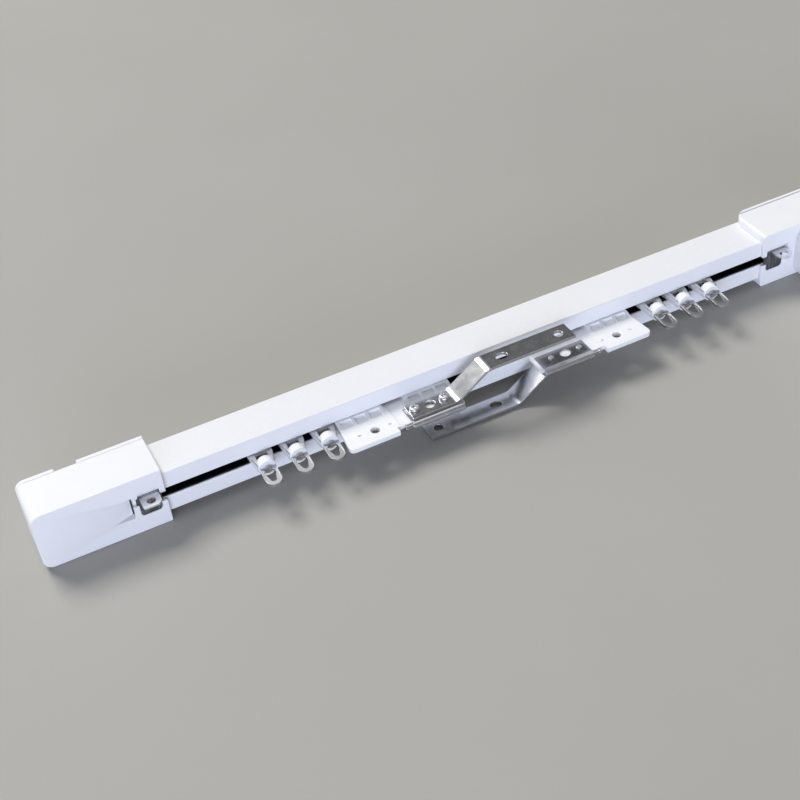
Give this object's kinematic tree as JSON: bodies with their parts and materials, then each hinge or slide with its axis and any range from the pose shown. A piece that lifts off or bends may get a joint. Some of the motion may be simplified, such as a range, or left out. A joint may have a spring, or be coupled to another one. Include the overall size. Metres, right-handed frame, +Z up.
{
  "type": "electric curtain track",
  "caption": "Short centre-opening electric curtain track: slotted rail with belt-driven master carriers with bent steel arms, swivel-eye gliders, an idler housing and a motor housing.",
  "frame": {"origin": "middle of the outer box, on the surface the track lies on", "axes": "+X along the rail to the motor end, +Y towards the side that meets the ceiling, +Z up as it lies on its side"},
  "size_m": [0.628, 0.2434, 0.044],
  "materials": {
    "white_rail": "white powder coat, satin",
    "white_plastic": "satin moulded",
    "white_nylon": "smooth moulded nylon",
    "nylon": "smooth moulded acetal",
    "grey_plastic": "matt moulded",
    "bright_steel": "stamped and nickel plated",
    "zinc_steel": "zinc plated",
    "gear_metal": "die cast",
    "bronze": "sintered, oil filled",
    "belt_rubber": "moulded, cord in its back",
    "board": "laminate with solder mask"
  },
  "bodies": {
    "track": {"track_rail": "white_rail", "idler_housing": "white_plastic", "idler_cover": "white_plastic", "idler_cover_screws": "zinc_steel", "idler_axle": "bright_steel", "idler_end_hook": "bright_steel", "drive_housing": "white_plastic", "drive_cover": "white_plastic", "drive_cover_screws": "zinc_steel", "drive_bearings": "bronze", "drive_end_hook": "bright_steel", "toothed_belt": "belt_rubber", "motor_collar": "white_plastic", "motor_upper_shell": "white_plastic", "motor_lower_shell": "white_plastic", "motor_gearbox": "gear_metal", "motor_can": "zinc_steel", "control_board": "board", "motor_end_cap": "white_plastic", "motor_cap_screws": "zinc_steel", "power_inlet": "grey_plastic"},
    "idler_pulley": {"idler_pulley": "nylon"},
    "drive_shaft": {"drive_pulley": "nylon", "motor_output_shaft": "bright_steel"},
    "setting_button": {"setting_button": "grey_plastic"},
    "left_carrier": {"left_carrier_body": "white_nylon", "left_belt_clamp": "grey_plastic", "left_arm_sleeve": "bright_steel", "left_sleeve_rod": "bright_steel", "left_arm": "bright_steel", "left_arm_screws": "zinc_steel"},
    "left_outer_wheels": {"left_outer_wheels": "nylon"},
    "left_inner_wheels": {"left_inner_wheels": "nylon"},
    "right_carrier": {"right_carrier_body": "white_nylon", "right_belt_clamp": "grey_plastic", "right_arm_sleeve": "bright_steel", "right_sleeve_rod": "bright_steel", "right_arm": "bright_steel", "right_arm_screws": "zinc_steel"},
    "right_outer_wheels": {"right_outer_wheels": "nylon"},
    "right_inner_wheels": {"right_inner_wheels": "nylon"},
    "glider_1": {"glider_1_body": "white_nylon"},
    "glider_1_wheels": {"glider_1_wheels": "nylon"},
    "glider_1_eye": {"glider_1_eye": "bright_steel"},
    "glider_2": {"glider_2_body": "white_nylon"},
    "glider_2_wheels": {"glider_2_wheels": "nylon"},
    "glider_2_eye": {"glider_2_eye": "bright_steel"},
    "glider_3": {"glider_3_body": "white_nylon"},
    "glider_3_wheels": {"glider_3_wheels": "nylon"},
    "glider_3_eye": {"glider_3_eye": "bright_steel"},
    "glider_4": {"glider_4_body": "white_nylon"},
    "glider_4_wheels": {"glider_4_wheels": "nylon"},
    "glider_4_eye": {"glider_4_eye": "bright_steel"},
    "glider_5": {"glider_5_body": "white_nylon"},
    "glider_5_wheels": {"glider_5_wheels": "nylon"},
    "glider_5_eye": {"glider_5_eye": "bright_steel"},
    "glider_6": {"glider_6_body": "white_nylon"},
    "glider_6_wheels": {"glider_6_wheels": "nylon"},
    "glider_6_eye": {"glider_6_eye": "bright_steel"}
  },
  "joints": [
    {"name": "left_carrier_slide", "type": "slide", "parent": "track", "child": "left_carrier", "axis": [1, 0, 0], "range_m": [-0.06, 0.025]},
    {"name": "right_carrier_slide", "type": "slide", "parent": "track", "child": "right_carrier", "axis": [1, 0, 0], "range_m": [-0.0255, 0.0605]},
    {"name": "glider_1_slide", "type": "slide", "parent": "track", "child": "glider_1", "axis": [1, 0, 0], "range_m": [-0.0503, 0.0213]},
    {"name": "glider_2_slide", "type": "slide", "parent": "track", "child": "glider_2", "axis": [1, 0, 0], "range_m": [-0.0554, 0.0234]},
    {"name": "glider_3_slide", "type": "slide", "parent": "track", "child": "glider_3", "axis": [1, 0, 0], "range_m": [-0.0605, 0.0255]},
    {"name": "glider_4_slide", "type": "slide", "parent": "track", "child": "glider_4", "axis": [1, 0, 0], "range_m": [-0.0211, 0.0499]},
    {"name": "glider_5_slide", "type": "slide", "parent": "track", "child": "glider_5", "axis": [1, 0, 0], "range_m": [-0.0189, 0.0448]},
    {"name": "glider_6_slide", "type": "slide", "parent": "track", "child": "glider_6", "axis": [1, 0, 0], "range_m": [-0.0168, 0.0397]},
    {"name": "left_outer_wheels_roll", "type": "hinge", "parent": "left_carrier", "child": "left_outer_wheels", "pos_m": [-0.09535, 0.09405, 0.02199], "axis": [0, 0, 1], "range_deg": [-289, 690]},
    {"name": "left_inner_wheels_roll", "type": "hinge", "parent": "left_carrier", "child": "left_inner_wheels", "pos_m": [-0.04565, 0.09405, 0.02199], "axis": [0, 0, 1], "range_deg": [-289, 690]},
    {"name": "right_outer_wheels_roll", "type": "hinge", "parent": "right_carrier", "child": "right_outer_wheels", "pos_m": [0.09685, 0.09405, 0.02199], "axis": [0, 0, 1], "range_deg": [-690, 289]},
    {"name": "right_inner_wheels_roll", "type": "hinge", "parent": "right_carrier", "child": "right_inner_wheels", "pos_m": [0.04715, 0.09405, 0.02199], "axis": [0, 0, 1], "range_deg": [-690, 289]},
    {"name": "glider_1_wheels_roll", "type": "hinge", "parent": "glider_1", "child": "glider_1_wheels", "pos_m": [-0.16473, 0.09405, 0.02199], "axis": [0, 0, 1], "range_deg": [-240, 573]},
    {"name": "glider_2_wheels_roll", "type": "hinge", "parent": "glider_2", "child": "glider_2_wheels", "pos_m": [-0.14274, 0.09405, 0.02199], "axis": [0, 0, 1], "range_deg": [-265, 632]},
    {"name": "glider_3_wheels_roll", "type": "hinge", "parent": "glider_3", "child": "glider_3_wheels", "pos_m": [-0.12073, 0.09405, 0.02199], "axis": [0, 0, 1], "range_deg": [-289, 690]},
    {"name": "glider_4_wheels_roll", "type": "hinge", "parent": "glider_4", "child": "glider_4_wheels", "pos_m": [0.1345, 0.09405, 0.02199], "axis": [0, 0, 1], "range_deg": [-568, 238]},
    {"name": "glider_5_wheels_roll", "type": "hinge", "parent": "glider_5", "child": "glider_5_wheels", "pos_m": [0.1565, 0.09405, 0.02199], "axis": [0, 0, 1], "range_deg": [-510, 214]},
    {"name": "glider_6_wheels_roll", "type": "hinge", "parent": "glider_6", "child": "glider_6_wheels", "pos_m": [0.1785, 0.09405, 0.02199], "axis": [0, 0, 1], "range_deg": [-451, 190]},
    {"name": "idler_pulley_turn", "type": "hinge", "parent": "track", "child": "idler_pulley", "pos_m": [-0.281, 0.10825, 0.02199], "axis": [0, 1, 0], "range_deg": [-311, 131]},
    {"name": "drive_shaft_turn", "type": "hinge", "parent": "track", "child": "drive_shaft", "pos_m": [0.281, 0.10825, 0.02199], "axis": [0, 1, 0], "range_deg": [-311, 131]},
    {"name": "glider_1_eye_swivel", "type": "hinge", "parent": "glider_1", "child": "glider_1_eye", "pos_m": [-0.16582, 0.07328, 0.02199], "axis": [0.0523, 0.9986, 0], "continuous": true},
    {"name": "glider_2_eye_swivel", "type": "hinge", "parent": "glider_2", "child": "glider_2_eye", "pos_m": [-0.14382, 0.07328, 0.02199], "axis": [0.0523, 0.9986, 0], "continuous": true},
    {"name": "glider_3_eye_swivel", "type": "hinge", "parent": "glider_3", "child": "glider_3_eye", "pos_m": [-0.12182, 0.07328, 0.02199], "axis": [0.0523, 0.9986, 0], "continuous": true},
    {"name": "glider_4_eye_swivel", "type": "hinge", "parent": "glider_4", "child": "glider_4_eye", "pos_m": [0.13341, 0.07328, 0.02199], "axis": [0.0523, 0.9986, 0], "continuous": true},
    {"name": "glider_5_eye_swivel", "type": "hinge", "parent": "glider_5", "child": "glider_5_eye", "pos_m": [0.15541, 0.07328, 0.02199], "axis": [0.0523, 0.9986, 0], "continuous": true},
    {"name": "glider_6_eye_swivel", "type": "hinge", "parent": "glider_6", "child": "glider_6_eye", "pos_m": [0.17741, 0.07328, 0.02199], "axis": [0.0523, 0.9986, 0], "continuous": true},
    {"name": "setting_button_press", "type": "slide", "parent": "track", "child": "setting_button", "axis": [0, 1, 0], "range_m": [0, 0.0008], "stiffness_N_per_m": 400}
  ],
  "couplings": [
    {"joint": "right_carrier_slide", "follows": "left_carrier_slide", "ratio": -1},
    {"joint": "glider_1_slide", "follows": "left_carrier_slide", "ratio": 0.83},
    {"joint": "glider_2_slide", "follows": "left_carrier_slide", "ratio": 0.915},
    {"joint": "glider_3_slide", "follows": "left_carrier_slide", "ratio": 1},
    {"joint": "glider_4_slide", "follows": "left_carrier_slide", "ratio": -0.82297},
    {"joint": "glider_5_slide", "follows": "left_carrier_slide", "ratio": -0.73797},
    {"joint": "glider_6_slide", "follows": "left_carrier_slide", "ratio": -0.65297},
    {"joint": "left_outer_wheels_roll", "follows": "left_carrier_slide", "rad_per_m": -200},
    {"joint": "left_inner_wheels_roll", "follows": "left_carrier_slide", "rad_per_m": -200},
    {"joint": "right_outer_wheels_roll", "follows": "left_carrier_slide", "rad_per_m": 200},
    {"joint": "right_inner_wheels_roll", "follows": "left_carrier_slide", "rad_per_m": 200},
    {"joint": "glider_1_wheels_roll", "follows": "left_carrier_slide", "rad_per_m": -166},
    {"joint": "glider_2_wheels_roll", "follows": "left_carrier_slide", "rad_per_m": -183},
    {"joint": "glider_3_wheels_roll", "follows": "left_carrier_slide", "rad_per_m": -200},
    {"joint": "glider_4_wheels_roll", "follows": "left_carrier_slide", "rad_per_m": 164.59},
    {"joint": "glider_5_wheels_roll", "follows": "left_carrier_slide", "rad_per_m": 147.59},
    {"joint": "glider_6_wheels_roll", "follows": "left_carrier_slide", "rad_per_m": 130.59},
    {"joint": "idler_pulley_turn", "follows": "left_carrier_slide", "rad_per_m": 89.76},
    {"joint": "drive_shaft_turn", "follows": "left_carrier_slide", "rad_per_m": 89.76}
  ]
}
